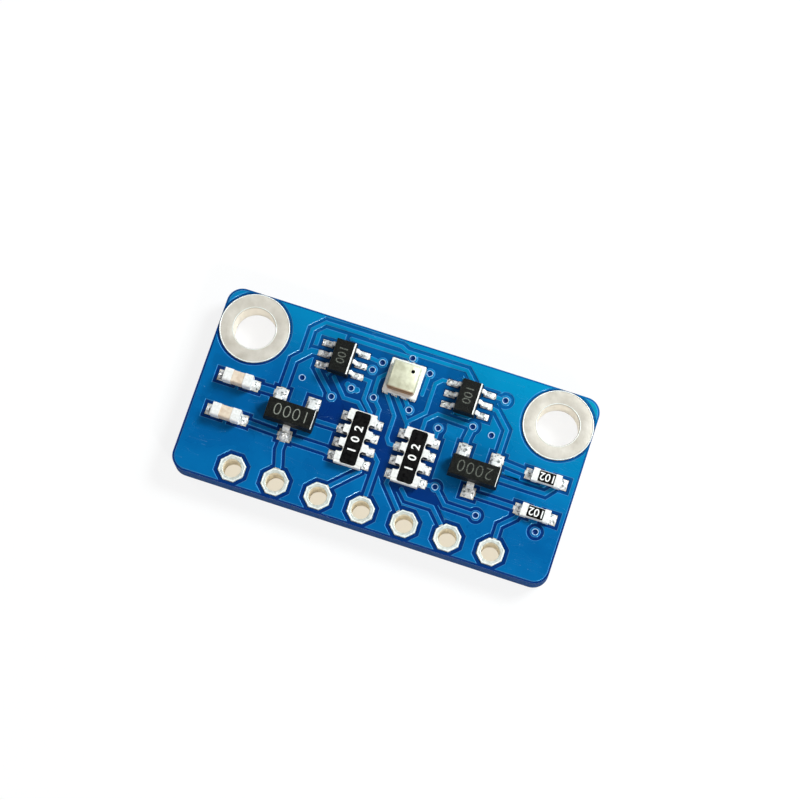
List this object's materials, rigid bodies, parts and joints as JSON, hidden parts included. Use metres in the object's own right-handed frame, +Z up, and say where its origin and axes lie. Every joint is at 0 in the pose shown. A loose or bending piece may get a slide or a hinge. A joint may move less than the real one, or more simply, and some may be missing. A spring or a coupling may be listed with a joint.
{
  "type": "pressure sensor module",
  "caption": "Small rectangular blue circuit board with a square metal-lidded pressure sensor, surface-mounted parts, header holes along one edge and mounting holes in the far corners.",
  "frame": {"origin": "under the middle of the board's outline, in the plane of the tinned pads that it rests on", "axes": "+X along the board's length, +Y from the header holes towards the mounting holes, +Z up, out of the face that carries the parts"},
  "size_m": [0.0222, 0.011, 0.0027],
  "materials": {
    "laminate": "cut glass-fibre laminate",
    "copper": "etched copper foil",
    "solder_mask": "glossy blue lacquer film",
    "tinned_pad": "satin tin over copper",
    "sensor_base": "pale smooth substrate",
    "sensor_lid": "satin plated lid",
    "silicon": "polished silicon",
    "moulding": "black moulding compound",
    "lead": "tinned lead frame",
    "solder": "bright solder",
    "white_ceramic": "white fired ceramic",
    "tan_ceramic": "tan fired ceramic",
    "overcoat": "black glass overcoat",
    "terminal": "tin plating"
  },
  "bodies": {
    "root": {"board_laminate": "laminate", "copper_top": "copper", "copper_bottom": "copper", "solder_mask_top": "solder_mask", "solder_mask_bottom": "solder_mask", "mounting_ring_left": "tinned_pad", "mounting_ring_right": "tinned_pad", "header_pad_1": "tinned_pad", "header_pad_2": "tinned_pad", "header_pad_3": "tinned_pad", "header_pad_4": "tinned_pad", "header_pad_5": "tinned_pad", "header_pad_6": "tinned_pad", "header_pad_7": "tinned_pad", "via_barrels": "copper", "sensor_substrate": "sensor_base", "sensor_lid": "sensor_lid", "pressure_die": "silicon", "signal_chip": "silicon", "sensor_solder": "solder", "shifter_left_body": "moulding", "shifter_left_leads": "lead", "shifter_left_solder": "solder", "shifter_right_body": "moulding", "shifter_right_leads": "lead", "shifter_right_solder": "solder", "regulator_body": "moulding", "regulator_leads": "lead", "regulator_solder": "solder", "transistor_body": "moulding", "transistor_leads": "lead", "transistor_solder": "solder", "array_left_ceramic": "white_ceramic", "array_left_overcoat": "overcoat", "array_left_terminals": "terminal", "array_left_solder": "solder", "array_right_ceramic": "white_ceramic", "array_right_overcoat": "overcoat", "array_right_terminals": "terminal", "array_right_solder": "solder", "resistor_upper_ceramic": "white_ceramic", "resistor_upper_overcoat": "overcoat", "resistor_upper_caps": "terminal", "resistor_upper_solder": "solder", "resistor_lower_ceramic": "white_ceramic", "resistor_lower_overcoat": "overcoat", "resistor_lower_caps": "terminal", "resistor_lower_solder": "solder", "capacitor_upper_ceramic": "tan_ceramic", "capacitor_upper_caps": "terminal", "capacitor_upper_solder": "solder", "capacitor_lower_ceramic": "tan_ceramic", "capacitor_lower_caps": "terminal", "capacitor_lower_solder": "solder"}
  },
  "joints": []
}
